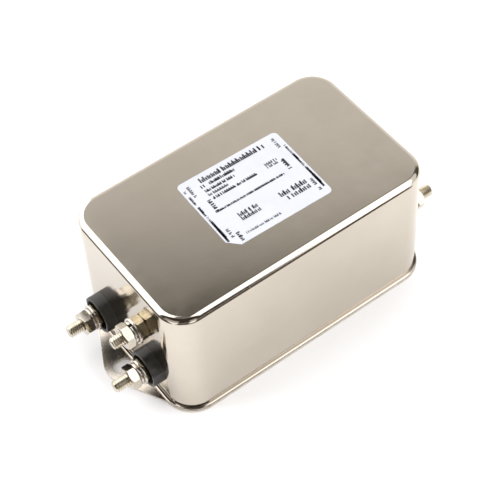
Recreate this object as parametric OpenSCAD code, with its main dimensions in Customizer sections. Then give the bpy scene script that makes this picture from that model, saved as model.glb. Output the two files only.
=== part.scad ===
// Chassis-mount mains line filter in a drawn metal can.
// Millimetres, +Z up. Origin: centre of the can's footprint, on the mounting face.
// The line end faces -X and the load end faces +X.

/* [Can] */
// Length of the can body, end face to end face
can_l = 94; // [84:0.5:110]
// Width of the can body
can_w = 55.7; // [50:0.1:66]
// Height of the can's top above the mounting face
can_top = 46.5; // [44:0.5:56]
// Sheet thickness of the can
can_wall = 0.8; // [0.5:0.1:1]
// Radius of the four upright corners
corner_r = 9; // [6:0.5:11]
// Radius of the edge round the top
top_edge_r = 1.9; // [1.2:0.1:3]
// How far the foot lip stands out of the can's wall
lip_w = 0.9; // [0.9:0.05:1.5]

/* [Base plate] */
// Sheet thickness of the base plate
plate_t = 0.9; // [0.8:0.1:1.5]
// How far each mounting ear reaches past the can's end face
ear_reach = 9.75; // [8.5:0.25:12]
// Width of an ear where it leaves the can's end face
ear_root_w = 42; // [30:0.5:44]
// Radius of an ear's round tip
ear_tip_r = 8; // [7:0.25:10]
// Distance from the can's end face to the middle of a mounting slot
slot_reach = 4.5; // [4.3:0.1:5]
// Width of a mounting slot
slot_w = 4.4; // [3.6:0.1:4.6]
// Length of a mounting slot, end to end
slot_len = 6; // [5:0.1:6.4]

/* [Label] */
// Length of the label along the can
label_l = 36.4; // [24:0.1:60]
// Width of the label across the can
label_w = 29.4; // [18:0.1:40]
// Thickness of the label
label_t = 0.15; // [0.1:0.05:0.4]
// Radius of the label's three round corners
label_r = 1.6; // [0.5:0.1:2.5]
// Size of the cut at the label's fourth corner
label_cut = 3.3; // [2:0.1:5]
// Offset of the label's centre along the can
label_x = 1.1; // [-5:0.1:5]
// Offset of the label's centre across the can
label_y = -0.5; // [-3:0.1:3]
// How far the label was stuck on askew, in degrees
label_turn = -1.4; // [-3:0.1:3]

/* [Terminals] */
// Distance between the two current terminals of one end
terminal_spacing = 25; // [23:0.5:27]
// Height of the current terminals above the mounting face
terminal_h = 12.9; // [11.5:0.1:13.5]
// How far a current terminal's stud reaches past the can
terminal_reach = 14.1; // [13:0.1:18]
// Sideways offset of the earth stud from the middle
earth_y = -9.9; // [-12:0.1:-8.5]
// Depth of the earth stud below the can's top
earth_drop = 16.7; // [14:0.1:17]
// How far the earth stud reaches past the can
earth_reach = 11; // [10:0.1:14]
// Diameter of every stud
stud_d = 4; // [3.5:0.1:4.2]
// Length of the chamfer at a stud's tip
stud_chamfer = 0.5; // [0.3:0.1:0.8]
// Depth of the thread on every stud
thread_depth = 0.43; // [0.3:0.01:0.5]
// Thickness of a stud's head inside the can
stud_head_t = 2.8; // [2:0.1:3.2]

/* [Insulators] */
// Diameter of an insulator's outer cup
insulator_d = 12.3; // [12:0.1:13.5]
// Distance across the two flats of the cup
insulator_flats = 11.6; // [11:0.1:12]
// How far the cup stands out of the can
insulator_out = 3.8; // [3:0.1:5]
// Diameter of the recess that keeps the clamp nut
recess_d = 10; // [9:0.1:10.6]
// Depth of that recess
recess_depth = 2; // [1.5:0.1:2.4]
// Diameter of the neck that passes through the can
neck_d = 8; // [7:0.1:8.4]
// Thickness of the insulating washer inside the can
inner_washer_t = 1.5; // [1:0.1:2]

/* [Fasteners] */
// Width across the flats of every hexagon
nut_af = 7; // [6.5:0.1:7.2]
// Thickness of a nut
nut_t = 2.9; // [2.6:0.1:3.2]
// How far a nut's round face lies inside its flats
nut_face_step = 0.1; // [0.05:0.05:0.3]
// Outer diameter of a flat washer
washer_d = 8.5; // [8:0.1:9.2]
// Thickness of a flat washer
washer_t = 0.8; // [0.6:0.1:1]
// Outer diameter of a spring washer
spring_d = 7.2; // [6.6:0.1:7.4]
// Thickness of a spring washer
spring_t = 1; // [0.8:0.1:1.2]
// Width of the split in a spring washer
spring_split = 0.8; // [0.5:0.1:1.2]
// Thickness of a solder lug
lug_t = 0.6; // [0.4:0.1:0.8]
// Width of a solder lug's tab
lug_w = 4; // [3:0.1:5]
// Reach of a terminal lug's tab from its ring's centre
lug_reach = 8.6; // [8:0.1:9]

/* [Choke] */
// Outer diameter of the ring core
core_od = 36; // [30:0.5:38]
// Inner diameter of the ring core
core_bore_d = 20; // [17:0.5:22]
// Height of the ring core
core_h = 18; // [14:0.5:18.5]
// Diameter of the winding wire
wire_d = 1.8; // [1.2:0.1:2]
// Turns in each winding
turns = 11; // [7:1:13]
// Angle of the core that one winding covers, in degrees
winding_angle = 120; // [100:5:140]
// Depth of the groove between two turns
groove_depth = 0.7; // [0.3:0.1:1]
// Angle of that groove round the core, in degrees
groove_angle = 2.2; // [1:0.1:4]
// Thickness of the divider between the windings
divider_t = 1.6; // [1:0.1:2]

/* [Capacitors] */
// Thickness of a box capacitor
box_cap_t = 9; // [7:0.5:10]
// Width of a box capacitor
box_cap_w = 26.5; // [26:0.5:30]
// Height of a box capacitor
box_cap_h = 19; // [15:0.5:21]
// Distance between the pins of a box capacitor
box_cap_pitch = 22.5; // [20:0.5:23]
// Diameter of a disc capacitor
disc_cap_d = 9; // [7:0.5:10]
// Thickness of a disc capacitor
disc_cap_t = 4; // [3:0.5:5]
// Distance between the pins of a disc capacitor
disc_cap_pitch = 5; // [4:0.5:6]
// Diameter of a component pin
pin_d = 0.8; // [0.6:0.1:1]
// Length of a component's free pins
pin_len = 5; // [4:0.5:7]
// Diameter of the bleed resistor
resistor_d = 3.2; // [2.5:0.1:4]
// Length of the bleed resistor
resistor_l = 9; // [7:0.5:12]

/* [Filling and wiring] */
// Depth of the filling below the can's top
fill_depth = 22.5; // [21.5:0.5:24]
// Thickness of the insulating sheet on the base plate
sheet_t = 0.5; // [0.3:0.1:1]
// Diameter of an insulated lead
lead_d = 1.5; // [1:0.1:1.8]
// Diameter of the earth lead
earth_lead_d = 1.2; // [0.8:0.1:1.4]
// Length of the straight stretch where a lead leaves its lug
lead_tail = 2; // [1:0.5:3]

/* [Clearances] */
// Gap round a neck or a stud in its hole, on the radius
hole_gap = 0.1; // [0.05:0.05:0.2]
// Gap between a stud and the nut that is screwed onto it
thread_gap = 0.05; // [0.02:0.01:0.1]
// Gap between a stud and a washer's bore, on the radius
washer_gap = 0.15; // [0.1:0.05:0.3]
// Gap between neighbouring components
part_gap = 0.5; // [0.3:0.1:1]
// Gap between a pin and the lead soldered to it
solder_gap = 0.1; // [0.05:0.05:0.2]

/* [Hidden] */
$fn = 64;
eps = 0.01;
lip_t = can_wall;
lip_fillet = lip_w - lip_t / 2;
inner_top = can_top - can_wall;
earth_h = can_top - earth_drop;
fill_level = can_top - fill_depth;
inner_r = corner_r - can_wall;
inner_edge_r = top_edge_r - can_wall;
plate_l = can_l + 2 * lip_w;
plate_w = can_w + 2 * lip_w;
plate_r = corner_r + lip_w;
ear_overlap = corner_r;
hole_spacing = can_l + 2 * slot_reach;

// Stack on a stud, measured outwards from the can's end face
recess_floor = insulator_out - recess_depth;
clamp_top = recess_floor + nut_t;
inner_seat = -can_wall - inner_washer_t;
lug_seat = inner_seat - lug_t;
earth_seat = -can_wall - lug_t;
nut_pitch = nut_t + washer_t + spring_t;
earth_lug_reach = earth_h - terminal_h - insulator_d / 2 - part_gap;
washer_bore_r = stud_d / 2 + washer_gap;
thread_mid_r = (stud_d - thread_depth) / 2;
hex_r = nut_af / 2 / cos(30);
nut_face_r = nut_af / 2 - nut_face_step;
nut_blank_r = hex_r + nut_face_step;
nut_bevel = (nut_blank_r - nut_face_r) * tan(30);

// Choke, hung from the top of the can
choke_t = core_h + 2 * wire_d;
choke_top = inner_top - part_gap;
choke_z = choke_top - choke_t / 2;
choke_bottom = choke_top - choke_t;
wound_or = core_od / 2 + wire_d;
turn_angle = winding_angle / turns;

// Components in a row along the can
box_cap_x = wound_or + part_gap + box_cap_t / 2;
box_cap_z = fill_level - 2 * part_gap;
disc_cap_x = box_cap_x + box_cap_t / 2 + part_gap + disc_cap_t / 2;
disc_cap_y = (box_cap_pitch - disc_cap_pitch) / 2;
disc_cap_z = box_cap_z + disc_cap_d / 2 - part_gap;
pin_end = box_cap_z - pin_len;
lead_y = box_cap_pitch / 2 + (pin_d + lead_d) / 2 + solder_gap;
lead_z = pin_end + lead_d / 2;

// Angles at which the hexagons and splits came to rest, in degrees
EARTH_CLAMP_TURN = 40;
EARTH_NUT_TURN = 1;
// One entry for each current terminal: end, side, clamp nut, nut, spring split
LINE = -1;
LOAD = 1;
TERMINALS = [
    [LINE, 1, 45, 28, 200],
    [LINE, -1, 38, 0, 150],
    [LOAD, 1, 12, 50, 80],
    [LOAD, -1, 25, 17, 310],
];

// ---------------------------------------------------------------- helpers

// Carries a wall section round a rectangle with round corners. The section
// lies in x (outwards, 0 at the corner's centre) and y (upwards).
module round_rectangle_sweep(l, w, r) {
    for (turn = [0, 180]) rotate([0, 0, turn]) {
        translate([r - l / 2, w / 2 - r, 0])
            rotate([90, 0, 90]) linear_extrude(l - 2 * r) children();
        translate([l / 2 - r, w / 2 - r, 0])
            rotate([90, 0, 0]) linear_extrude(w - 2 * r) children();
        translate([l / 2 - r, w / 2 - r, 0])
            rotate_extrude(angle = 90) children();
        translate([l / 2 - r, r - w / 2, 0])
            rotate([0, 0, -90]) rotate_extrude(angle = 90) children();
    }
}

// Section of a solid wall from the corner's centre out to r, with its upper
// outer edge rounded.
module rounded_section(r, edge_r, bottom, top) {
    translate([0, bottom]) square([r - edge_r, top - bottom]);
    translate([0, bottom]) square([r, top - edge_r - bottom]);
    translate([r - edge_r, top - edge_r]) circle(edge_r);
}

module round_rectangle(l, w, r) {
    square([l, w - 2 * r], center = true);
    square([l - 2 * r, w], center = true);
    for (x = [-1, 1], y = [-1, 1])
        translate([x * (l / 2 - r), y * (w / 2 - r)]) circle(r);
}

module ring(r_out, r_in, h) {
    difference() {
        cylinder(r = r_out, h = h);
        translate([0, 0, -eps]) cylinder(r = r_in, h = h + 2 * eps);
    }
}

// Puts a piece on an end face: its +Z points out of the can, its +X up.
module on_end(end, y, z) {
    rotate([0, 0, end == LOAD ? 180 : 0])
        translate([-can_l / 2, -end * y, z]) rotate([0, -90, 0]) children();
}

module at_terminal(end, side) {
    on_end(end, side * terminal_spacing / 2, terminal_h) children();
}

module on_terminal(t) {
    at_terminal(t[0], t[1]) children();
}

module on_earth() {
    on_end(LINE, earth_y, earth_h) children();
}

function unit(v) = v / norm(v);

// Point at the share t of the stretch after point i, on the smooth curve
// through all the points of a route.
function curve_point(p, i, t) =
    let (a = p[max(i - 1, 0)], b = p[i], c = p[i + 1], d = p[min(i + 2, len(p) - 1)])
    0.5 * (2 * b + (c - a) * t + (2 * a - 5 * b + 4 * c - d) * t * t
        + (3 * b - a - 3 * c + d) * t * t * t);
function curve(p, steps) =
    concat([for (i = [0 : len(p) - 2], k = [0 : steps - 1]) curve_point(p, i, k / steps)],
        [p[len(p) - 1]]);

// Round wire through a list of points. Its two ends are flat, and face along
// the headings first and last.
module tube(points, d, first, last, sides = 8, steps = 3) {
    path = curve(points, steps);
    n = len(path);
    heading = [for (i = [0 : n - 1])
        i == 0 ? first : i == n - 1 ? last : unit(path[i + 1] - path[i - 1])];
    side_hint = [0.05, 1, 0.02];
    verts = [for (i = [0 : n - 1])
        let (h = heading[i], a = unit(cross(h, side_hint)), b = cross(h, a))
        for (s = [0 : sides - 1])
            path[i] + d / 2 * (cos(360 * s / sides) * a + sin(360 * s / sides) * b)];
    sides_faces = [for (i = [0 : n - 2], s = [0 : sides - 1])
        let (q = i * sides, e = (s + 1) % sides)
        [q + s, q + e, q + sides + e, q + sides + s]];
    polyhedron(verts, concat([[for (s = [sides - 1 : -1 : 0]) s]], sides_faces,
        [[for (s = [0 : sides - 1]) (n - 1) * sides + s]]), convexity = 6);
}

// ---------------------------------------------------------------- housing

module can_section() {
    difference() {
        union() {
            rounded_section(corner_r, top_edge_r, plate_t, can_top);
            translate([corner_r - eps, plate_t]) square([lip_w - lip_t / 2 + eps, lip_t]);
            translate([corner_r + lip_w - lip_t / 2, plate_t + lip_t / 2]) circle(lip_t / 2);
            translate([corner_r - eps, plate_t]) square([lip_fillet + eps, lip_t + lip_fillet]);
        }
        translate([corner_r + lip_fillet, plate_t + lip_t + lip_fillet]) circle(lip_fillet);
        translate([0, -eps]) rounded_section(inner_r, inner_edge_r, 0, inner_top + eps);
    }
}

module can() {
    color("silver") difference() {
        union() {
            round_rectangle_sweep(can_l, can_w, corner_r) can_section();
            translate([corner_r - can_l / 2, corner_r - can_w / 2, inner_top])
                cube([can_l - 2 * corner_r, can_w - 2 * corner_r, can_wall]);
        }
        for (t = TERMINALS) on_terminal(t)
            translate([0, 0, -2 * can_wall]) cylinder(d = neck_d + 2 * hole_gap, h = 3 * can_wall);
        on_earth() translate([0, 0, -2 * can_wall])
            cylinder(d = stud_d + 2 * hole_gap, h = 3 * can_wall);
    }
}

// One ear, pointing along +X from the can's end face. Its straight sides run
// into the round tip a hair inside it, so that the two cross cleanly.
module ear() {
    tip_x = ear_reach - ear_tip_r;
    root = ear_root_w / 2;
    side_r = ear_tip_r - eps;
    bearing = atan2(root, -tip_x) - acos(side_r / norm([tip_x, root]));
    touch = [tip_x + side_r * cos(bearing), side_r * sin(bearing)];
    linear_extrude(plate_t) polygon([
        [-ear_overlap, root], [0, root], touch,
        [touch[0], -touch[1]], [0, -root], [-ear_overlap, -root]]);
    translate([tip_x, 0, 0]) cylinder(r = ear_tip_r, h = plate_t);
}

module slot() {
    straight = slot_len - slot_w;
    translate([-straight / 2, -slot_w / 2, 0]) cube([straight, slot_w, plate_t + 2 * eps]);
    for (x = [-1, 1]) translate([x * straight / 2, 0, 0])
        cylinder(d = slot_w, h = plate_t + 2 * eps);
}

module base_plate() {
    color("silver") difference() {
        union() {
            linear_extrude(plate_t) round_rectangle(plate_l, plate_w, plate_r);
            for (turn = [0, 180]) rotate([0, 0, turn]) translate([can_l / 2, 0, 0]) ear();
        }
        for (x = [-1, 1]) translate([x * hole_spacing / 2, 0, -eps]) slot();
    }
}

module label() {
    color("white") translate([label_x, label_y, can_top]) rotate([0, 0, label_turn])
        linear_extrude(label_t) difference() {
            round_rectangle(label_l, label_w, label_r);
            translate([-label_l / 2, -label_w / 2]) polygon([
                [-eps, -eps], [label_cut, -eps], [-eps, label_cut]]);
        }
}

// ---------------------------------------------------------------- fasteners

// Hexagon nut with chamfered corners, standing on z = 0. Its bore is drawn at
// the middle of the thread.
module nut() {
    bore_r = thread_mid_r + thread_gap;
    intersection() {
        translate([0, 0, -eps]) cylinder(r = hex_r, h = nut_t + 2 * eps, $fn = 6);
        rotate_extrude() polygon([
            [bore_r, 0], [nut_face_r, 0], [nut_blank_r, nut_bevel],
            [nut_blank_r, nut_t - nut_bevel], [nut_face_r, nut_t], [bore_r, nut_t]]);
    }
}

module flat_washer() {
    ring(washer_d / 2, washer_bore_r, washer_t);
}

module spring_washer() {
    difference() {
        ring(spring_d / 2, washer_bore_r, spring_t);
        translate([0, -spring_split / 2, -eps])
            cube([spring_d, spring_split, spring_t + 2 * eps]);
    }
}

// Stud with its head inside the can and its tip outside. Where its two nuts
// are screwed on it is drawn at the middle of the thread.
module stud(head_top, first_nut, reach) {
    major_r = stud_d / 2;
    necks = [for (z = [first_nut, first_nut + nut_pitch])
        each [[major_r, z - thread_gap], [thread_mid_r, z - thread_gap],
            [thread_mid_r, z + nut_t + thread_gap], [major_r, z + nut_t + thread_gap]]];
    translate([0, 0, head_top - stud_head_t]) cylinder(r = hex_r, h = stud_head_t, $fn = 6);
    rotate_extrude() polygon(concat(
        [[0, head_top - eps], [major_r, head_top - eps]], necks,
        [[major_r, reach - stud_chamfer], [major_r - stud_chamfer, reach], [0, reach]]));
}

module lug_outline(reach) {
    circle(d = washer_d);
    translate([-reach, -lug_w / 2]) square([reach, lug_w]);
}

// Ring with a tab that points down the end wall.
module lug(reach) {
    linear_extrude(lug_t) difference() {
        lug_outline(reach);
        circle(r = washer_bore_r);
    }
}

// Moves a piece to a height on its stud.
module seat(height) {
    translate([0, 0, height]) children();
}

// ---------------------------------------------------------------- terminals

module insulator() {
    color([0.12, 0.12, 0.13]) difference() {
        union() {
            intersection() {
                cylinder(d = insulator_d, h = insulator_out);
                translate([-insulator_d, -insulator_flats / 2, 0])
                    cube([2 * insulator_d, insulator_flats, insulator_out]);
            }
            translate([0, 0, inner_seat + hole_gap])
                cylinder(d = neck_d, h = -inner_seat - hole_gap + eps);
        }
        translate([0, 0, recess_floor]) cylinder(d = recess_d, h = recess_depth + eps);
        translate([0, 0, 2 * inner_seat])
            cylinder(d = stud_d + 2 * hole_gap, h = insulator_out - 2 * inner_seat);
    }
}

module inner_insulating_washers() {
    color("tan") for (t = TERMINALS) on_terminal(t)
        seat(inner_seat) ring(insulator_d / 2, neck_d / 2 + hole_gap, inner_washer_t);
}

module solder_lugs() {
    color("gold") for (t = TERMINALS) on_terminal(t) seat(lug_seat) lug(lug_reach);
}

module clamp_nuts() {
    color("khaki") for (t = TERMINALS) on_terminal(t)
        seat(recess_floor) rotate([0, 0, t[2]]) nut();
}

module flat_washers() {
    color("gainsboro") for (t = TERMINALS) on_terminal(t) seat(clamp_top) flat_washer();
}

module spring_washers() {
    color("gainsboro") for (t = TERMINALS) on_terminal(t)
        seat(clamp_top + washer_t) rotate([0, 0, t[4]]) spring_washer();
}

module terminal_nuts() {
    color("gainsboro") for (t = TERMINALS) on_terminal(t)
        seat(recess_floor + nut_pitch) rotate([0, 0, t[3]]) nut();
}

module terminal_stud() {
    color("khaki") stud(lug_seat, recess_floor, terminal_reach);
}

// ---------------------------------------------------------------- earth stud

module earth_stud() {
    color("khaki") on_earth() stud(earth_seat, 0, earth_reach);
}

module earth_lug() {
    color("gold") on_earth() seat(earth_seat) lug(earth_lug_reach);
}

module earth_clamp_nut() {
    color("khaki") on_earth() rotate([0, 0, EARTH_CLAMP_TURN]) nut();
}

module earth_flat_washer() {
    color("gainsboro") on_earth() seat(nut_t) flat_washer();
}

module earth_spring_washer() {
    color("gainsboro") on_earth() seat(nut_t + washer_t) spring_washer();
}

module earth_nut() {
    color("gainsboro") on_earth() seat(nut_pitch) rotate([0, 0, EARTH_NUT_TURN]) nut();
}

// ---------------------------------------------------------------- choke

module core_solid() {
    translate([0, 0, choke_z - core_h / 2]) ring(core_od / 2, core_bore_d / 2, core_h);
}

module choke_core() {
    color("darkslategray") core_solid();
}

module choke_divider() {
    reach = core_bore_d / 2 - part_gap;
    color("ivory") translate([-reach, -divider_t / 2, choke_bottom])
        cube([2 * reach, divider_t, choke_t]);
}

// Section of the core, grown by the given thickness.
module core_section(thickness) {
    translate([core_bore_d / 2 - thickness, choke_z - core_h / 2 - thickness])
        square([(core_od - core_bore_d) / 2 + 2 * thickness, core_h + 2 * thickness]);
}

// Space taken by a winding centred on +Y, with the core inside it.
module winding_space() {
    rotate([0, 0, 90 - winding_angle / 2]) rotate_extrude(angle = winding_angle)
        core_section(wire_d);
}

// Winding centred on +Y: a sleeve with a groove between each turn and the next.
module winding() {
    color("peru") rotate([0, 0, 90 - winding_angle / 2]) difference() {
        rotate_extrude(angle = winding_angle) difference() {
            core_section(wire_d);
            core_section(0);
        }
        for (k = [1 : turns - 1]) rotate([0, 0, k * turn_angle - groove_angle / 2])
            rotate_extrude(angle = groove_angle) difference() {
                core_section(wire_d + groove_depth);
                core_section(wire_d - groove_depth);
            }
    }
}

// ---------------------------------------------------------------- capacitors

module box_capacitor(end) {
    color("khaki") translate([end * box_cap_x, 0, 0]) {
        translate([-box_cap_t / 2, -box_cap_w / 2, box_cap_z])
            cube([box_cap_t, box_cap_w, box_cap_h]);
        for (y = [-1, 1]) translate([0, y * box_cap_pitch / 2, pin_end])
            cylinder(d = pin_d, h = pin_len + eps);
    }
}

module disc_solid(side) {
    translate([-disc_cap_x - disc_cap_t / 2, side * disc_cap_y, disc_cap_z])
        rotate([0, 90, 0]) cylinder(d = disc_cap_d, h = disc_cap_t);
}

module disc_capacitor(side) {
    color("steelblue") {
        disc_solid(side);
        for (y = [-1, 1])
            translate([-disc_cap_x, side * disc_cap_y + y * disc_cap_pitch / 2, pin_end])
                cylinder(d = pin_d, h = disc_cap_z - pin_end);
    }
}

// Lies across the pins of the line end's box capacitor.
module bleed_resistor() {
    reach = (box_cap_pitch - pin_d) / 2 - solder_gap;
    color("sienna") translate([-box_cap_x, 0, pin_end + resistor_d / 2]) rotate([90, 0, 0]) {
        cylinder(d = resistor_d, h = resistor_l, center = true);
        cylinder(d = pin_d, h = 2 * reach, center = true);
    }
}

// ---------------------------------------------------------------- wiring

// Lead of the line end's +Y side: from its lug, past the pins, to the middle
// of the winding's last turn but one.
module lead() {
    y_lug = terminal_spacing / 2;
    x_lug = -can_l / 2 - lug_seat;
    z_lug = terminal_h - lug_reach + lead_d / 2 + part_gap;
    x_pins = disc_cap_x + disc_cap_t / 2;
    end_turn = 90 + winding_angle / 2 - 1.5 * turn_angle;
    end_r = wound_or - lead_d;
    x_end = end_r * cos(end_turn);
    y_end = end_r * sin(end_turn);
    z_rise = (choke_bottom + lead_z) / 2;
    color("firebrick") tube([
        [x_lug, y_lug, z_lug],
        [x_lug + lead_tail, y_lug, z_lug],
        [(x_lug - 2 * x_pins) / 3, (y_lug + lead_y) / 2, (z_lug + lead_z) / 2],
        [-x_pins, lead_y, lead_z],
        [-box_cap_x, lead_y, lead_z],
        [(x_end - box_cap_x) / 2, (y_end + lead_y) / 2, lead_z],
        [x_end, y_end, z_rise],
        [x_end, y_end, choke_bottom],
    ], lead_d, [1, 0, 0], [0, 0, 1]);
}

// Other ends and sides are the same lead turned over.
module lead_at(end, side) {
    mirror([end == LOAD ? 1 : 0, 0, 0]) mirror([0, side == -1 ? 1 : 0, 0]) lead();
}

// From the earth lug to the inner pins of the two disc capacitors.
module earth_lead() {
    x_lug = -can_l / 2 - earth_seat;
    z_lug = earth_h - earth_lug_reach + earth_lead_d / 2;
    y_pin = disc_cap_y - disc_cap_pitch / 2;
    y_stop = y_pin + pin_d;
    x_pass = -disc_cap_x - (pin_d + earth_lead_d) / 2 - solder_gap;
    z_pass = pin_end + earth_lead_d;
    color("yellowgreen") tube([
        [x_lug, earth_y, z_lug],
        [x_lug + lead_tail, earth_y, z_lug],
        [(x_lug + x_pass) / 2, earth_y, (z_lug + z_pass) / 2],
        [x_pass - pin_d, -y_stop, z_pass],
        [x_pass, -y_pin, z_pass],
        [x_pass, 0, z_pass],
        [x_pass, y_stop, z_pass],
    ], earth_lead_d, [1, 0, 0], [0, 1, 0]);
}

// ---------------------------------------------------------------- filling

module base_sheet() {
    margin = 2 * part_gap;
    color("beige") translate([0, 0, plate_t]) linear_extrude(sheet_t)
        round_rectangle(can_l - 2 * can_wall - margin, can_w - 2 * can_wall - margin,
            inner_r - margin / 2);
}

module potting() {
    color("dimgray") difference() {
        union() {
            round_rectangle_sweep(can_l - 2 * can_wall, can_w - 2 * can_wall, inner_r)
                rounded_section(inner_r, inner_edge_r, fill_level, inner_top);
            translate([corner_r - can_l / 2, corner_r - can_w / 2, fill_level])
                cube([can_l - 2 * corner_r, can_w - 2 * corner_r, inner_top - fill_level]);
        }
        core_solid();
        for (turn = [0, 180]) rotate([0, 0, turn]) winding_space();
        translate([-core_bore_d / 2 + part_gap, -divider_t / 2, 0])
            cube([core_bore_d - 2 * part_gap, divider_t, choke_top]);
        for (end = [LINE, LOAD])
            translate([end * box_cap_x - box_cap_t / 2, -box_cap_w / 2, 0])
                cube([box_cap_t, box_cap_w, box_cap_z + box_cap_h]);
        for (side = [-1, 1]) disc_solid(side);
        on_earth() {
            stud(earth_seat, 0, earth_reach);
            seat(earth_seat) linear_extrude(lug_t) lug_outline(earth_lug_reach);
        }
    }
}

// ---------------------------------------------------------------- nodes

can();
base_plate();
label();
at_terminal(LINE, 1) insulator();  // insulator_line_p
at_terminal(LINE, -1) insulator();  // insulator_line_n
at_terminal(LOAD, 1) insulator();  // insulator_load_p
at_terminal(LOAD, -1) insulator();  // insulator_load_n
inner_insulating_washers();
solder_lugs();
clamp_nuts();
flat_washers();
spring_washers();
terminal_nuts();
at_terminal(LINE, 1) terminal_stud();  // stud_line_p
at_terminal(LINE, -1) terminal_stud();  // stud_line_n
at_terminal(LOAD, 1) terminal_stud();  // stud_load_p
at_terminal(LOAD, -1) terminal_stud();  // stud_load_n
earth_stud();
earth_lug();
earth_clamp_nut();
earth_flat_washer();
earth_spring_washer();
earth_nut();
choke_core();
choke_divider();
winding();  // winding_p
rotate([0, 0, 180]) winding();  // winding_n
box_capacitor(LINE);  // box_capacitor_line
box_capacitor(LOAD);  // box_capacitor_load
disc_capacitor(1);  // disc_capacitor_p
disc_capacitor(-1);  // disc_capacitor_n
bleed_resistor();
lead_at(LINE, 1);  // lead_line_p
lead_at(LINE, -1);  // lead_line_n
lead_at(LOAD, 1);  // lead_load_p
lead_at(LOAD, -1);  // lead_load_n
earth_lead();
base_sheet();
potting();
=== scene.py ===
# %% [markdown]
# # A mains line filter in a drawn metal can
#
# The object is a small sealed can of nickel-plated steel on a base plate with
# two slotted ears. Threaded studs stand out of both ends in black insulators.
# Nearly everything on it is bright metal, so most of the look comes from what
# the metal reflects, and from edges that are round enough to catch the light.

# %% Load the frame
import math

import bmesh
import bpy
from mathutils import Matrix, Vector


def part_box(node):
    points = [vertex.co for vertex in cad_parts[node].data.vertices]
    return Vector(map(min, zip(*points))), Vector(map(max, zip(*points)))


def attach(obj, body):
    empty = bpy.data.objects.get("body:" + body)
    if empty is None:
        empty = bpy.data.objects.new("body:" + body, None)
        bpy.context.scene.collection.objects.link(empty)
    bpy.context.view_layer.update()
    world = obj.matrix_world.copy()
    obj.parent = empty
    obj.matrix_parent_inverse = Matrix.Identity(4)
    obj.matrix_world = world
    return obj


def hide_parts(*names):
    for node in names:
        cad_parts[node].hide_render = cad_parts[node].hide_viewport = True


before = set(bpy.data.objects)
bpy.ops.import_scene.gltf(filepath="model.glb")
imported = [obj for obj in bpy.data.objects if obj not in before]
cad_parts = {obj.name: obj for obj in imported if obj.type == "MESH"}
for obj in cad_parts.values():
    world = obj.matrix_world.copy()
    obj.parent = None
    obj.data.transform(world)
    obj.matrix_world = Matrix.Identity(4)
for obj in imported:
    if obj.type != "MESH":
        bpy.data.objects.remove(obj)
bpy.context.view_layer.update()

MM = 0.001


# %% [markdown]
# ## Sizes
#
# Sizes and places come from the boxes of the parts, so nothing here can drift
# away from the construction. Only what a box can't tell, such as a thread's
# pitch or a bend's radius, is named with a value.

# %% Sizes read from the parts
can_low, can_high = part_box("can")
LIP_W = 0.9 * MM
WALL = 0.8 * MM
CAN_L = can_high.x - can_low.x - 2 * LIP_W
CAN_W = can_high.y - can_low.y - 2 * LIP_W
CAN_TOP = can_high.z
CAN_BOTTOM = can_low.z
CORNER_R = 9 * MM
EDGE_R = 1.9 * MM


def thickness(node):
    low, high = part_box(node)
    return high.x - low.x


def reach(node):
    """How far a node stands out past the can's end face."""
    return -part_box(node)[0].x - CAN_L / 2


def centre(node):
    low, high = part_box(node)
    return (low + high) / 2


NUT_T = thickness("earth_nut")
WASHER_T = thickness("earth_flat_washer")
SPRING_T = thickness("earth_spring_washer")
TERMINAL_H = centre("stud_line_p").z
TERMINAL_SPACING = centre("stud_line_p").y - centre("stud_line_n").y
EARTH = centre("earth_stud")
NUT_ACROSS = 7 * MM
STUD_R = 2 * MM
WASHER_BORE_R = 2.15 * MM
WASHER_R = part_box("earth_flat_washer")[1].z - EARTH.z
SPRING_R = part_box("earth_spring_washer")[1].z - EARTH.z
print("can, mm:", *(round(v / MM, 2) for v in (CAN_L, CAN_W, CAN_TOP)))
print("nut, washer, spring, mm:", *(round(v / MM, 2) for v in (NUT_T, WASHER_T, SPRING_T)))


# %% [markdown]
# ## Camera
#
# A long lens from well above one corner. The camera is placed by the angles at
# which it looks at the object: azimuth round the object, elevation above the
# floor, and a small roll.

# %% Camera
AZIMUTH = math.radians(-33.885)
ELEVATION = math.radians(52.403)
ROLL = math.radians(-3.663)
DISTANCE = 0.4838
ASIDE = -0.0012
RAISED = 0.01066
LENS_MM = 109.03
SENSOR_MM = 36
NEAREST = 0.01


def camera_axes():
    """Right, up and backward directions of the rolled camera, and its place."""
    back = Vector((
        math.sin(AZIMUTH) * math.cos(ELEVATION),
        -math.cos(AZIMUTH) * math.cos(ELEVATION),
        math.sin(ELEVATION),
    ))
    level = Vector((math.cos(AZIMUTH), math.sin(AZIMUTH), 0))
    upright = back.cross(level)
    place = back * DISTANCE + level * ASIDE + upright * RAISED
    right = level * math.cos(ROLL) + upright * math.sin(ROLL)
    up = upright * math.cos(ROLL) - level * math.sin(ROLL)
    return right, up, back, place


right, up, back, place = camera_axes()
camera_data = bpy.data.cameras.new("camera")
camera_data.lens = LENS_MM
camera_data.sensor_width = SENSOR_MM
camera_data.clip_start = NEAREST
camera = bpy.data.objects.new("camera", camera_data)
camera.matrix_world = Matrix.Translation(place) @ Matrix((right, up, back)).transposed().to_4x4()
bpy.context.scene.collection.objects.link(camera)
bpy.context.scene.camera = camera
bpy.context.scene.view_settings.view_transform = "Standard"
print("camera at, m:", [round(v, 3) for v in place])


# %% [markdown]
# ## A short way to build node trees
#
# Materials and Geometry Nodes are both trees of nodes. Written out in full,
# each node takes many lines, so one helper makes a node per line, and a number
# that flows through a tree is wrapped so that plain arithmetic on it adds the
# Math nodes.

# %% Node helpers
def put(tree, kind, *values, out=0, **settings):
    """Adds a node. Values fill its inputs in order, None is skipped. Returns one output."""
    node = tree.nodes.new(kind)
    for name, value in settings.items():
        setattr(node, name, value)
    for socket, value in zip(node.inputs, values):
        fill(tree, socket, value)
    return node.outputs[out] if len(node.outputs) else node


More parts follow.
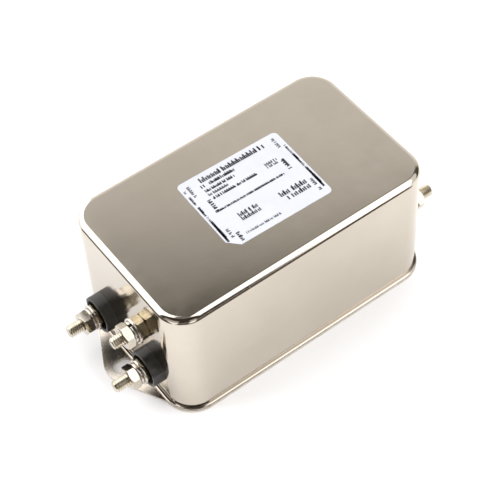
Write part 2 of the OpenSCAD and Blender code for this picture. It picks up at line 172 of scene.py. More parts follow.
def fill(tree, socket, value):
    """Gives an input a plain value, or links it to another node's output."""
    value = value.socket if isinstance(value, Number) else value
    if isinstance(value, bpy.types.NodeSocket):
        tree.links.new(value, socket)
    elif value is not None:
        socket.default_value = value


class Number:
    """A number flowing through a tree. Arithmetic on it adds Math nodes."""

    def __init__(self, tree, socket):
        self.tree, self.socket = tree, socket

    def maths(self, operation, *others):
        return Number(self.tree, put(self.tree, "ShaderNodeMath", self, *others, operation=operation))

    def __add__(self, other):
        return self.maths("ADD", other)

    def __sub__(self, other):
        return self.maths("SUBTRACT", other)

    def __mul__(self, other):
        return self.maths("MULTIPLY", other)

    def __truediv__(self, other):
        return self.maths("DIVIDE", other)

    def __rsub__(self, other):
        return (self * -1) + other

    __radd__, __rmul__ = __add__, __mul__

    def modulo(self, other):
        return self.maths("FLOORED_MODULO", other)

    def floor(self):
        return self.maths("FLOOR")

    def cos(self):
        return self.maths("COSINE")

    def sin(self):
        return self.maths("SINE")

    def least(self, other):
        return self.maths("MINIMUM", other)

    def most(self, other):
        return self.maths("MAXIMUM", other)


def vector(tree, x, y, z):
    return put(tree, "ShaderNodeCombineXYZ", x, y, z)


def mix(tree, factor, a, b):
    """Colour mix of a and b."""
    node = tree.nodes.new("ShaderNodeMix")
    node.data_type = "RGBA"
    for socket, value in ((node.inputs[0], factor), (node.inputs[6], a), (node.inputs[7], b)):
        fill(tree, socket, (*value, 1) if isinstance(value, tuple) else value)
    return node.outputs[2]


def ramp(tree, factor, *stops):
    """Colour ramp through (position, colour) stops."""
    node = tree.nodes.new("ShaderNodeValToRGB")
    elements = node.color_ramp.elements
    while len(elements) < len(stops):
        elements.new(0.5)
    for element, (position, colour) in zip(elements, stops):
        element.position = position
        element.color = (*colour, 1)
    fill(tree, node.inputs[0], factor)
    return node.outputs[0]


print("node helpers ready")


# %% [markdown]
# ## Helpers for Geometry Nodes
#
# A shape that follows a rule is made by a tree with named inputs, such as a
# nut's width across flats. The tree is put on an empty mesh as a modifier, its
# inputs are set, and the finished mesh is kept.

# %% Geometry helpers
SOCKET_KINDS = {int: "NodeSocketInt", float: "NodeSocketFloat", type(None): "NodeSocketMaterial"}
SAME_POINT = 0.002 * MM
FLAT_FACES_FIRST = 90


def add_input(tree, label, value):
    socket = tree.interface.new_socket(label, in_out="INPUT", socket_type=SOCKET_KINDS[type(value)])
    if value is not None:
        socket.default_value = value


def geometry_tree(name, **inputs):
    """New tree. Returns it, its named inputs as numbers, and its incoming geometry."""
    tree = bpy.data.node_groups.new(name, "GeometryNodeTree")
    for in_out in ("INPUT", "OUTPUT"):
        tree.interface.new_socket("Geometry", in_out=in_out, socket_type="NodeSocketGeometry")
    for label, value in inputs.items():
        add_input(tree, label.replace("_", " "), value)
    given = tree.nodes.new("NodeGroupInput")
    numbers = {label: Number(tree, given.outputs[label.replace("_", " ")]) for label in inputs}
    return tree, numbers, given.outputs[0]


def inputs_of(tree):
    return [item for item in tree.interface.items_tree
            if item.item_type == "SOCKET" and item.in_out == "INPUT" and item.name != "Geometry"]


def pick(tree, index, values):
    """The value whose place in the list is index."""
    node = tree.nodes.new("GeometryNodeIndexSwitch")
    node.data_type = "FLOAT"
    while len(node.index_switch_items) < len(values):
        node.index_switch_items.new()
    fill(tree, node.inputs[0], put(tree, "FunctionNodeFloatToInt", index, rounding_mode="ROUND"))
    for socket, value in zip(node.inputs[1:], values):
        fill(tree, socket, value)
    return Number(tree, node.outputs[0])


def join(tree, *parts):
    node = tree.nodes.new("GeometryNodeJoinGeometry")
    for part in parts:
        tree.links.new(part, node.inputs[0])
    return node.outputs[0]


def bent_grid(tree, columns, rows, place, marks=None):
    """Grid whose points go where place(column, row) says. Points that meet are joined.

    Marks are named values kept on the points, one for each row."""
    grid = put(tree, "GeometryNodeMeshGrid", 1.0, 1.0, columns, rows)
    index = Number(tree, put(tree, "GeometryNodeInputIndex"))
    column = ((index + 0.5) / rows).floor()
    row = index - column * rows
    for name, values in (marks or {}).items():
        grid = put(tree, "GeometryNodeStoreNamedAttribute", grid, None, name, pick(tree, row, values))
    moved = put(tree, "GeometryNodeSetPosition", grid, None, vector(tree, *place(column, row)))
    return put(tree, "GeometryNodeMergeByDistance", moved, None, SAME_POINT)


def turned(tree, columns, rows, profile):
    """Shape round Z. profile(angle) lists its (radius, height) points, as many as rows."""
    def place(column, row):
        angle = column * (2 * math.pi / (columns - 1))
        radii, heights = zip(*profile(angle))
        radius = pick(tree, row, radii)
        return radius * angle.cos(), radius * angle.sin(), pick(tree, row, heights)

    return bent_grid(tree, columns, rows, place)


def finish_tree(tree, geometry):
    tree.links.new(geometry, tree.nodes.new("NodeGroupOutput").inputs[0])
    return tree


def volume(mesh):
    shape = bmesh.new()
    shape.from_mesh(mesh)
    total = shape.calc_volume(signed=True)
    shape.free()
    return total


def new_piece(name, mesh):
    piece = bpy.data.objects.new(name, mesh)
    bpy.context.scene.collection.objects.link(piece)
    return piece


def keep_evaluated(piece):
    """Replaces the piece's mesh by the result of its modifiers, with faces outward."""
    evaluated = piece.evaluated_get(bpy.context.evaluated_depsgraph_get())
    mesh = bpy.data.meshes.new_from_object(evaluated)
    piece.modifiers.clear()
    piece.data = mesh
    if volume(mesh) < 0:
        mesh.flip_normals()


def grow(name, tree, start=None, **values):
    """New object made by a tree with these inputs."""
    piece = new_piece(name, start or bpy.data.meshes.new(name))
    modifier = piece.modifiers.new("shape", "NODES")
    modifier.node_group = tree
    for item in inputs_of(tree):
        key = item.name.replace(" ", "_")
        if key in values:
            modifier[item.identifier] = values[key]
    keep_evaluated(piece)
    return piece


def soften(piece, width, segments=2, angle=25, edge_slot=-1):
    """Rounds edges sharper than the angle and keeps the flat faces flat in the light."""
    bevel = piece.modifiers.new("round", "BEVEL")
    bevel.width, bevel.segments = width, segments
    bevel.limit_method, bevel.angle_limit = "ANGLE", math.radians(angle)
    # The rounded edges can take a second material: in this script always a lighter one, which paints
    # highlights on them.
    bevel.material = edge_slot
    for polygon in piece.data.polygons:
        polygon.use_smooth = True
    weighted = piece.modifiers.new("normals", "WEIGHTED_NORMAL")
    weighted.weight = FLAT_FACES_FIRST
    weighted.keep_sharp = False
    keep_evaluated(piece)


print("geometry helpers ready")


# %% [markdown]
# ## Shader groups
#
# Effects that several materials share are groups: a fine grain from plating and
# moulding, slow clouds where handling has dulled or polished a surface, and
# small specks of dust and pits. Each takes sizes in millimetres and gives masks
# and heights, which a material then uses in its own way.

# %% Shader groups
def shader_group(name, inputs, outputs):
    """New group. Returns its tree, its inputs as numbers, and a way to set its outputs."""
    tree = bpy.data.node_groups.new(name, "ShaderNodeTree")
    for label, value in inputs.items():
        tree.interface.new_socket(label, in_out="INPUT", socket_type="NodeSocketFloat").default_value = value
    for label in outputs:
        tree.interface.new_socket(label, in_out="OUTPUT", socket_type="NodeSocketFloat")
    given = tree.nodes.new("NodeGroupInput")
    result = tree.nodes.new("NodeGroupOutput")
    numbers = {label: Number(tree, given.outputs[label]) for label in inputs}

    def finish(*values):
        for socket, value in zip(result.inputs, values):
            fill(tree, socket, value)
        return tree

    return tree, numbers, finish


def millimetres(tree, size):
    """Scale of a texture whose features are this many millimetres."""
    return Number(tree, put(tree, "ShaderNodeMath", 1 / MM, size, operation="DIVIDE"))


def noise(tree, place, size, detail=2.0, roughness=0.5):
    scale = millimetres(tree, size)
    return Number(tree, put(tree, "ShaderNodeTexNoise", place, None, scale, detail, roughness))


def between(tree, value, low, high):
    """0 below low, 1 above high, smooth in between."""
    return Number(tree, put(tree, "ShaderNodeMapRange", value, low, high, 0.0, 1.0,
                            interpolation_type="SMOOTHSTEP"))


def object_place(tree):
    return put(tree, "ShaderNodeTexCoord", out=3)


def make_grain_group():
    tree, given, finish = shader_group("fine_grain", {"Size": 0.3, "Stretch": 1.0}, ("Height", "Mask"))
    shrink = put(tree, "ShaderNodeMath", 1.0, given["Stretch"], operation="DIVIDE")
    stretched = put(tree, "ShaderNodeMapping", object_place(tree), None, None, vector(tree, shrink, 1.0, 1.0))
    fine = noise(tree, stretched, given["Size"], 3.0, 0.6)
    return finish(fine, between(tree, fine, 0.35, 0.65))


def make_cloud_group():
    tree, given, finish = shader_group("handling_clouds", {"Size": 14.0}, ("Mask", "Slope"))
    place = object_place(tree)
    wide = noise(tree, place, given["Size"], 4.0, 0.55)
    small = noise(tree, place, given["Size"] * 0.23, 3.0, 0.6)
    return finish(between(tree, wide * 0.7 + small * 0.3, 0.38, 0.62), wide)


def make_speck_group():
    tree, given, finish = shader_group("small_specks", {"Size": 2.5, "Share": 0.12}, ("Mask",))
    node = tree.nodes.new("ShaderNodeTexVoronoi")
    fill(tree, node.inputs["Vector"], object_place(tree))
    fill(tree, node.inputs["Scale"], millimetres(tree, given["Size"]))
    reached = Number(tree, node.outputs["Distance"])
    chance = Number(tree, put(tree, "ShaderNodeSeparateColor", node.outputs["Color"]))
    near = 1.0 - between(tree, reached, 0.03, 0.1)
    return finish(near * chance.maths("LESS_THAN", given["Share"]))


FINE_GRAIN = make_grain_group()
CLOUDS = make_cloud_group()
SPECKS = make_speck_group()
print("shader groups:", FINE_GRAIN.name, CLOUDS.name, SPECKS.name)


# %% Material helpers
def new_material(name):
    material = bpy.data.materials.new(name)
    material.use_nodes = True
    return material, material.node_tree, material.node_tree.nodes["Principled BSDF"]


def use_group(tree, group, *values):
    """Puts a group in a material. Returns its outputs as numbers."""
    node = tree.nodes.new("ShaderNodeGroup")
    node.node_tree = group
    for socket, value in zip(node.inputs, values):
        fill(tree, socket, value)
    return [Number(tree, output) for output in node.outputs]


def bump(tree, look, height, depth, strength=1.0):
    """Turns a height of 0 to 1 into a normal, depth millimetres deep."""
    normal = put(tree, "ShaderNodeBump")
    node = normal.node
    node.inputs["Strength"].default_value = strength
    node.inputs["Distance"].default_value = depth * MM
    fill(tree, node.inputs["Height"], height)
    tree.links.new(normal, look.inputs["Normal"])


# %% [markdown]
# ## Nickel plate
#
# The can, its base plate and all fasteners are nickel-plated steel. Nickel is a
# warm grey metal. The plate on the drawn can is satin, because the rolled sheet
# under it isn't polished: a fine grain breaks reflections up, and clouds of
# handling change the gloss slowly. The fasteners are smoother, and yellower
# where a chromate passivation has left its tint.

# %% Nickel
def nickel(name, clean, dull, gloss, rough, grain=0.2, grain_depth=0.001, cloud=2.5, wave_depth=0.0,
           painted_crease_shade=None):
    """Plated metal from its clean to its dull colour, with the roughness from gloss to rough.

    Grain and cloud are sizes and the depths are heights, all in millimetres."""
    material, tree, look = new_material(name)
    grain_height, grain_mask = use_group(tree, FINE_GRAIN, grain)
    cloud_mask, cloud_slope = use_group(tree, CLOUDS, cloud)
    speck, = use_group(tree, SPECKS, 3.0, 0.05)
    colour = mix(tree, cloud_mask * 0.8 + grain_mask * 0.2 + speck * 0.6, clean, dull)
    # Painted shade: where the mesh marks the fillet between the can's wall and its lip, the colour turns to
    # this darker one.
    if painted_crease_shade:
        colour = mix(tree, put(tree, "ShaderNodeAttribute", attribute_name="painted_crease_shade", out=2), colour, painted_crease_shade)
    fill(tree, look.inputs["Base Color"], colour)
    fill(tree, look.inputs["Roughness"], cloud_mask * (rough - gloss) + gloss + speck * 0.25)
    look.inputs["Metallic"].default_value = 1
    bump(tree, look, grain_height * grain_depth + cloud_slope * wave_depth, 1.0)
    return material


# The can's last colour is painted shade on the fillet where its wall meets its lip.
can_metal = nickel("can_nickel", (0.60, 0.548, 0.47), (0.58, 0.525, 0.445), 0.08, 0.12, grain=0.35,
                   grain_depth=0.003, cloud=22.0, wave_depth=0.02, painted_crease_shade=(0.34, 0.30, 0.255))
plate_metal = nickel("plate_nickel", (0.70, 0.65, 0.58), (0.60, 0.55, 0.48), 0.2, 0.3, grain=0.4,
                     grain_depth=0.004, cloud=14.0)
fastener_metal = nickel("fastener_nickel", (0.62, 0.57, 0.48), (0.50, 0.44, 0.36), 0.07, 0.16)
brass_metal = nickel("clamp_nut_plate", (0.54, 0.47, 0.33), (0.38, 0.31, 0.20), 0.1, 0.2)
washer_metal = nickel("washer_plate", (0.70, 0.66, 0.60), (0.55, 0.50, 0.43), 0.12, 0.25, grain_depth=0.002,
                      cloud=3.0)
stud_metal = nickel("stud_nickel", (0.68, 0.62, 0.50), (0.50, 0.43, 0.31), 0.14, 0.26, grain_depth=0.002,
                    cloud=3.0)
# Lighter plate for the rounded edges of nuts, washers and the base plate: a painted highlight.
edge_highlight_metal = nickel("edge_polish", (0.80, 0.775, 0.735), (0.70, 0.67, 0.62), 0.12, 0.2, cloud=3.0)
print("metals ready")


# %% [markdown]
# ## The can
#
# The can is drawn from one sheet: a shallow box with round corners, a tight
# radius round the top and a short lip turned out at the foot, where it meets
# the base plate. One section, carried round a rectangle with round corners,
# gives it all. The grid's columns go round the can and its rows go up the
# outside, over the top and down the inside. Its holes are all covered by the
# insulators and the earth nut, and are left out here.

# %% Can
CREASE_FILLET = 0.15 * MM
CREASE_FADE = 0.05 * MM
SHADING_ONLY = 0.0001 * MM


def arc(centre_r, centre_z, radius, first, last, steps):
    """(radius, height) points of an arc. Angles are in degrees, 0 is outwards."""
    points = []
    for k in range(steps + 1):
        angle = math.radians(first + (last - first) * k / steps)
        points.append((centre_r + radius * math.cos(angle), centre_z + radius * math.sin(angle)))
    return points


def can_tree(corner_steps=14):
    tree, given, _ = geometry_tree(
        "drawn_can", Length=CAN_L, Width=CAN_W, Top=CAN_TOP, Bottom=CAN_BOTTOM, Corner_Radius=CORNER_R,
        Edge_Radius=EDGE_R, Lip_Width=LIP_W, Fillet=CREASE_FILLET, Wall=WALL, Material=None)
    corner, edge, lip, wall = (given[n] for n in ("Corner_Radius", "Edge_Radius", "Lip_Width", "Wall"))
    top, bottom = given["Top"], given["Bottom"]
    half_wall, fillet = wall / 2, given["Fillet"]
    inner_edge = edge - wall
    section = [(0, top - wall), (0, top - wall)]
    section += arc(corner - edge, top - edge, inner_edge, 90, 0, 3)
    section += [(corner - wall, bottom)]
    section += arc(corner + lip - half_wall, bottom + half_wall, half_wall, -90, 90, 6)
    # The rows of this fillet are marked, and the can's material paints shade on them.
    crease_start = len(section)
    section += arc(corner + fillet, bottom + wall + fillet, fillet, 270, 180, 5)
    crease_end = len(section)
    section += [(corner, bottom + wall + fillet + CREASE_FADE)]
    section += arc(corner - edge, top - edge, edge, 0, 90, 10)
    section += [(0, top), (0, top)]
    spread = [0] + [1] * (len(section) - 2) + [0]
    painted_crease_shade = [1.0 if crease_start <= row < crease_end else 0.0 for row in range(len(section))]

    def place(column, row):
        quarter = ((column + 0.5) / (corner_steps + 1)).floor()
        angle = (quarter + (column - quarter * (corner_steps + 1)) / corner_steps) * (math.pi / 2)
        radii, heights = zip(*section)
        radius = pick(tree, row, radii)
        width = pick(tree, row, spread)
        along = pick(tree, quarter, (1, -1, -1, 1, 1)) * width * (given["Length"] / 2 - corner)
        across = pick(tree, quarter, (1, 1, -1, -1, 1)) * width * (given["Width"] / 2 - corner)
        return along + radius * angle.cos(), across + radius * angle.sin(), pick(tree, row, heights)

    shell = bent_grid(tree, 4 * (corner_steps + 1) + 1, len(section), place, {"painted_crease_shade": painted_crease_shade})
    shell = put(tree, "GeometryNodeSetMaterial", shell, None, given["Material"])
    return finish_tree(tree, shell)


can = grow("can_shell", can_tree(), Material=can_metal)
soften(can, SHADING_ONLY, 1, angle=170)
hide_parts("can")
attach(can, "root")
print("can:", len(can.data.vertices), "points")


# %% [markdown]
# ## Fasteners
#
# Every nut, washer, stud and insulator is turned round its own axis, so each is
# a grid wrapped round that axis. A second tree then stands the piece on the
# studs: two at each end, or one for the earth stud, each with its own turn,
# because nuts come to rest wherever they are tight.

# %% Standing a piece on the studs
def on_studs(name, piece_tree):
    """Tree that repeats a piece at the four terminals, or at one stud."""
    tree, given, _ = geometry_tree(
        name, Count=4, Can_Length=CAN_L, Seat=0.0, Spacing=TERMINAL_SPACING, Shift=0.0, Height=TERMINAL_H,
        Turn_1=0.0, Turn_2=0.0, Turn_3=0.0, Turn_4=0.0, Material=None)
    node = tree.nodes.new("GeometryNodeGroup")
    node.node_tree = piece_tree
    for item in inputs_of(piece_tree):
        add_input(tree, item.name, item.default_value)
        tree.links.new(given["Count"].socket.node.outputs[item.name], node.inputs[item.name])
    points = put(tree, "GeometryNodeMeshLine", given["Count"])
    index = Number(tree, put(tree, "GeometryNodeInputIndex"))
    end = ((index + 0.5) / 2).floor() * 2 - 1
    side = 1 - index.modulo(2) * 2
    stud_place = vector(tree, end * (given["Can_Length"] / 2 + given["Seat"]),
                        side * given["Spacing"] / 2 + given["Shift"], given["Height"])
    points = put(tree, "GeometryNodeSetPosition", points, None, stud_place)
    facing = vector(tree, 0.0, -math.pi / 2, (end + 1) * (math.pi / 2))
    pieces = put(tree, "GeometryNodeInstanceOnPoints", points, None, node.outputs[0], None, None,
                 put(tree, "FunctionNodeEulerToRotation", facing))
    turn = pick(tree, index, [given[f"Turn_{k}"] for k in (1, 2, 3, 4)]) * (math.pi / 180)
    pieces = put(tree, "GeometryNodeRotateInstances", pieces, None,
                 put(tree, "FunctionNodeEulerToRotation", vector(tree, 0.0, 0.0, turn)), None, True)
    solid = put(tree, "GeometryNodeRealizeInstances", pieces)
    return finish_tree(tree, put(tree, "GeometryNodeSetMaterial", solid, None, given["Material"]))


def stand(name, tree, nodes, slot, turns=(0, 0, 0, 0), round_edges=0.0, segments=2, angle=25, edge_slot=None,
          **values):
    """Grows a piece on the studs, rounds its edges and lets it stand for its CAD nodes."""
    if nodes[0].startswith("earth"):
        values.update(Count=1, Spacing=0.0, Shift=EARTH.y, Height=EARTH.z)
    for k, turn in enumerate(turns):
        values[f"Turn_{k + 1}"] = float(turn)
    piece = grow(name, tree, **values)
    if edge_slot:
        piece.data.materials.append(edge_slot)
    soften(piece, round_edges * MM, segments, angle, 1 if edge_slot else -1)
    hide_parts(*nodes)
    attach(piece, "root")
    print(name, "stands on", len(nodes), "node(s):", len(piece.data.vertices), "points")
    return piece


# %% [markdown]
# ### Nuts
#
# A hexagon nut is pressed from bar, then chamfered at 30 degrees where its
# corners meet its round faces, and countersunk at its bore. The chamfer cuts
# each flat in an arc, which comes out by itself when the corner's radius sets
# the height.

# %% Nuts
# Eight columns for each of the six sides, and one more to close the ring.
HEXAGON_COLUMNS = 49
CHAMFER_SLOPE = math.tan(math.radians(30))
NUT_EDGE = 0.13


def hexagon_radius(angle, across):
    """Distance from a hexagon's centre to its outline. A corner is at angle 0."""
    sector = angle.modulo(math.pi / 3) - math.pi / 6
    return across / 2 / sector.cos()


def nut_tree():
    tree, given, _ = geometry_tree("hexagon_nut", Across_Flats=NUT_ACROSS, Thickness=NUT_T,
                                   Bore_Radius=2.03 * MM, Countersink=0.25 * MM, Face_Step=0.1 * MM)
    thick, bore, sink = given["Thickness"], given["Bore_Radius"], given["Countersink"]
    face = given["Across_Flats"] / 2 - given["Face_Step"]

    def profile(angle):
        corner = hexagon_radius(angle, given["Across_Flats"])
        drop = (corner - face) * CHAMFER_SLOPE
        return [(bore, sink), (bore + sink, 0), (face, 0), (corner, drop), (corner, thick - drop),
                (face, thick), (bore + sink, thick), (bore, thick - sink), (bore, sink)]

    return finish_tree(tree, turned(tree, HEXAGON_COLUMNS, 9, profile))


NUTS = on_studs("nuts_on_studs", nut_tree())
# The nuts' rounded edges take the lighter edge plate, a painted highlight.
for node, metal, turns in (
        ("clamp_nuts", brass_metal, (45, 38, 12, 25)), ("terminal_nuts", fastener_metal, (28, 0, 50, 17)),
        ("earth_clamp_nut", brass_metal, (40, 0, 0, 0)), ("earth_nut", fastener_metal, (1, 0, 0, 0))):
    stand(f"{node}_bright", NUTS, [node], "nickel_fastener", turns, NUT_EDGE, edge_slot=edge_highlight_metal,
          Seat=reach(node) - NUT_T, Material=metal)


# %% [markdown]
# ### Washers
#
# A flat washer is stamped, so one of its edges is a little round. The spring
# washer is wound from square wire and cut across, and its two ends stand a
# little apart along the stud even when it is tight.

# %% Washers
WASHER_EDGE = 0.12


def washer_tree(columns=65):
    tree, given, _ = geometry_tree("flat_washer", Outer_Radius=WASHER_R, Inner_Radius=WASHER_BORE_R,
                                   Thickness=WASHER_T)
    outer, inner, thick = given["Outer_Radius"], given["Inner_Radius"], given["Thickness"]
    section = [(inner, 0), (outer, 0), (outer, thick), (inner, thick), (inner, 0)]
    return finish_tree(tree, turned(tree, columns, 5, lambda angle: section))


def spring_tree(columns=61):
    """The first and last columns shrink to a point, which closes the ends of the wire."""
    tree, given, _ = geometry_tree("spring_washer", Outer_Radius=SPRING_R, Inner_Radius=WASHER_BORE_R,
                                   Thickness=SPRING_T, Split=0.8 * MM, Rise=0.12 * MM)
    outer, inner, thick, rise = (given[n] for n in ("Outer_Radius", "Inner_Radius", "Thickness", "Rise"))
    half_gap = given["Split"] / (outer + inner)

    def place(column, row):
        share = ((column - 1) / (columns - 3)).least(1).most(0)
        angle = half_gap + share * (2 * math.pi - half_gap * 2)
        full = (column - 0.5).maths("COMPARE", (columns - 2) / 2, (columns - 2) / 2)
        middle = (outer + inner) / 2
        radius = middle + (pick(tree, row, (inner, outer, outer, inner, inner)) - middle) * full
        height = pick(tree, row, (0, 0, thick, thick, 0))
        height = thick / 2 + (height - thick / 2) * full
        return radius * angle.cos(), radius * angle.sin(), height * (1 - rise / thick) + rise * share

    return finish_tree(tree, bent_grid(tree, columns, 5, place))


FLAT_WASHERS = on_studs("washers_on_studs", washer_tree())
SPRING_WASHERS = on_studs("springs_on_studs", spring_tree())
# The washers' rounded edges take the lighter edge plate, a painted highlight.
for node, tree, thick, turns in (
        ("flat_washers", FLAT_WASHERS, WASHER_T, (0, 0, 0, 0)),
        ("earth_flat_washer", FLAT_WASHERS, WASHER_T, (0, 0, 0, 0)),
        ("spring_washers", SPRING_WASHERS, SPRING_T, (200, 150, 80, 310)),
        ("earth_spring_washer", SPRING_WASHERS, SPRING_T, (0, 0, 0, 0))):
    stand(f"{node}_bright", tree, [node], "washer_steel", turns, WASHER_EDGE, edge_slot=edge_highlight_metal,
          Seat=reach(node) - thick, Material=washer_metal)


# %% [markdown]
# ### Studs
#
# The studs carry an M4 thread, pitch 0.7 mm, and it shows. A grid wound round
# the stud like a tape gives it: four rows make one turn of the thread, two on
# its crest and two in its root, and after one round each row meets the row four
# places further on. Rows past the tip are held at its end plane, where the
# chamfer cuts the thread off.

# %% Studs
THREAD_PITCH = 0.7 * MM
THREAD_DEPTH = 0.43 * MM
HEAD_T = 2.8 * MM
STUD_REACH = reach("stud_line_p")
EARTH_REACH = reach("earth_stud")
HEAD_TOP = HEAD_T - thickness("stud_line_p") + STUD_REACH
EARTH_HEAD_TOP = HEAD_T - thickness("earth_stud") + EARTH_REACH


def stud_tree(longest, columns=37):
    tree, given, _ = geometry_tree("threaded_stud", Reach=longest, Major_Radius=STUD_R, Pitch=THREAD_PITCH,
                                   Thread_Depth=THREAD_DEPTH, Tip_Chamfer=0.5 * MM, Head_Thickness=HEAD_T,
                                   Head_Across=NUT_ACROSS)
    reached, major, depth = given["Reach"], given["Major_Radius"], given["Thread_Depth"]
    rows = 4 * (math.ceil(longest / THREAD_PITCH) + 2)

    def place(column, row):
        round_share = column / (columns - 1)
        turn = (row / 4 + 0.01).floor()
        step = row - turn * 4
        raw = (turn - 1 + pick(tree, step, (0, 0.125, 0.4375, 0.6875)) + round_share) * given["Pitch"]
        height = raw.most(0).least(reached)
        thread = major - depth * pick(tree, step, (0, 0, 1, 1))
        tip = major - given["Tip_Chamfer"] + (reached - height)
        middle = (row - (rows - 1) / 2).maths("ABSOLUTE").maths("LESS_THAN", (rows - 1) / 2 - 0.5)
        radius = thread.least(tip).least(major - depth + height) * middle
        angle = round_share * (2 * math.pi)
        return radius * angle.cos(), radius * angle.sin(), height

    shaft = bent_grid(tree, columns, rows, place)
    low, face, across = given["Head_Thickness"] * -1, given["Head_Across"] / 2, given["Head_Across"]

    def head_profile(angle):
        corner = hexagon_radius(angle, across)
        drop = (corner - face) * CHAMFER_SLOPE
        return [(0, low), (face, low), (corner, low + drop), (corner, drop * -1), (face, 0), (0, 0)]

    head = turned(tree, HEXAGON_COLUMNS, 6, head_profile)
    return finish_tree(tree, join(tree, shaft, head))


STUDS = on_studs("studs_in_place", stud_tree(STUD_REACH - HEAD_TOP))
stand("terminal_studs_threaded", STUDS, ["stud_line_p", "stud_line_n", "stud_load_p", "stud_load_n"],
      "nickel_stud", (10, 200, 95, 300), angle=60, Seat=HEAD_TOP, Reach=STUD_REACH - HEAD_TOP,
      Material=stud_metal)
stand("earth_stud_threaded", STUDS, ["earth_stud"], "nickel_stud", (140, 0, 0, 0), angle=60,
      Seat=EARTH_HEAD_TOP, Reach=EARTH_REACH - EARTH_HEAD_TOP, Material=stud_metal)


# %% [markdown]
# ## Insulators
#
# The current studs pass through moulded cups with a flat to each side. The
# plastic is filled and nearly black. Its rounded rims take a lighter plastic,
# a painted highlight, and fine dust makes its sides slightly grey.

# %% Black plastic
def black_plastic(name, deep, worn, gloss, rough):
    material, tree, look = new_material(name)
    grain_height, grain_mask = use_group(tree, FINE_GRAIN, 0.25)
    cloud_mask, _ = use_group(tree, CLOUDS, 3.5)
    speck, = use_group(tree, SPECKS, 0.8, 0.2)
    wear = cloud_mask * 0.55 + grain_mask * 0.25 + speck * 0.6
    fill(tree, look.inputs["Base Color"], mix(tree, wear, deep, worn))
    fill(tree, look.inputs["Roughness"], cloud_mask * (rough - gloss) + gloss)
    bump(tree, look, grain_height, 0.008)
    return material


insulator_black = black_plastic("insulator_black", (0.010, 0.009, 0.008), (0.036, 0.033, 0.029), 0.34, 0.5)
# Lighter plastic for the insulators' rounded rims: a painted highlight.
insulator_rim = black_plastic("insulator_rim", (0.03, 0.028, 0.027), (0.09, 0.082, 0.078), 0.32, 0.48)


# %% Insulators
INSULATOR_EDGE = 0.28
SEATED = -0.35 * MM


def insulator_tree(columns=97):
    cup_low, cup_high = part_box("insulator_line_n")
    cup_out = reach("insulator_line_n")
    tree, given, _ = geometry_tree(
        "insulator", Diameter=cup_high.z - cup_low.z, Flats=cup_high.y - cup_low.y, Out=cup_out,
        In=thickness("insulator_line_n") - cup_out, Recess_Radius=5.0 * MM, Recess_Depth=2.0 * MM,
        Neck_Radius=4.0 * MM, Bore_Radius=2.1 * MM)
    out, neck, bore, recess = (given[n] for n in ("Out", "Neck_Radius", "Bore_Radius", "Recess_Radius"))
    inner_end, floor_z = given["In"] * -1, given["Out"] - given["Recess_Depth"]

    def profile(angle):
        flat = (given["Flats"] / 2) / angle.sin().maths("ABSOLUTE").most(0.01)
        cup = (given["Diameter"] / 2).least(flat)
        return [(bore, inner_end), (neck, inner_end), (neck, SEATED), (cup, SEATED), (cup, out),
                (recess, out), (recess, floor_z), (bore, floor_z), (bore, inner_end)]

    return finish_tree(tree, turned(tree, columns, 9, profile))


INSULATORS = on_studs("insulators_in_place", insulator_tree())
stand("insulators_moulded", INSULATORS,
      ["insulator_line_p", "insulator_line_n", "insulator_load_p", "insulator_load_n"], "black_plastic",
      round_edges=INSULATOR_EDGE, segments=3, angle=35, edge_slot=insulator_rim, Material=insulator_black)


# %% [markdown]
# ## Base plate
#
# The base plate is blanked from sheet, so its edges are slightly round. A
# lighter plate on those edges paints highlights on them. It is the constructed
# plate with those edges.

# %% Base plate
PLATE_EDGE = 0.16
FLAT_WITHIN = math.radians(0.5)


def softened(name, node, material, width, edge_slot=None):
    """Copy of a CAD node with its flat faces whole and its edges rounded."""
    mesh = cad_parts[node].data.copy()
    mesh.transform(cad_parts[node].matrix_world)
    shape = bmesh.new()
    shape.from_mesh(mesh)
    bmesh.ops.remove_doubles(shape, verts=shape.verts, dist=SAME_POINT)
    bmesh.ops.dissolve_limit(shape, angle_limit=FLAT_WITHIN, verts=shape.verts, edges=shape.edges)
    shape.to_mesh(mesh)
    shape.free()
    mesh.materials.clear()
    mesh.materials.append(material)
    if edge_slot:
        mesh.materials.append(edge_slot)
    piece = new_piece(name, mesh)
    soften(piece, width * MM, 2, 30, 1 if edge_slot else -1)
    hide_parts(node)
    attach(piece, "root")
    return piece


softened("base_plate_blanked", "base_plate", plate_metal, PLATE_EDGE, edge_highlight_metal)
print("base plate softened")


# %% [markdown]
# ## Label
#
# The label is a thin printed film with one corner cut. Its print is generic:
# rows of small strokes at the size and place of such a label's lines, with no
# lettering and no marks. Each row is drawn as a line, and the tree sets strokes
# along it by a rule: one cell for each character, some left empty between
# words.

# %% Label film
FILM_EDGE = 0.05


def label_film(name, colour, shade):
    material, tree, look = new_material(name)
    grain_height, grain_mask = use_group(tree, FINE_GRAIN, 0.4)
    cloud_mask, _ = use_group(tree, CLOUDS, 9.0)
    speck, = use_group(tree, SPECKS, 1.6, 0.06)
    handled = cloud_mask * 0.6 + grain_mask * 0.1 + speck * 0.3
    fill(tree, look.inputs["Base Color"], mix(tree, handled, colour, shade))
    fill(tree, look.inputs["Roughness"], cloud_mask * 0.08 + 0.46)
    bump(tree, look, grain_height, 0.003)
    return material


film_material = label_film("label_film", (0.57, 0.58, 0.625), (0.535, 0.545, 0.59))
softened("label_sheet", "label", film_material, FILM_EDGE)
print("label film softened")


# %% Ink
def ink(name, colour, faded):
    material, tree, look = new_material(name)
    grain_height, grain_mask = use_group(tree, FINE_GRAIN, 0.15)
    fill(tree, look.inputs["Base Color"], mix(tree, grain_mask * 0.7, colour, faded))
    fill(tree, look.inputs["Roughness"], grain_mask * 0.15 + 0.35)
    bump(tree, look, grain_height, 0.002)
    return material


black_ink = ink("label_ink", (0.012, 0.012, 0.014), (0.05, 0.05, 0.055))


# %% Print
LABEL_TURN = math.radians(-1.4)
INK_LIFT = 0.012 * MM
NONE_EMPTY = -1.0
# Far enough apart that the bars of a cell draw their chances independently.
APART = 1000
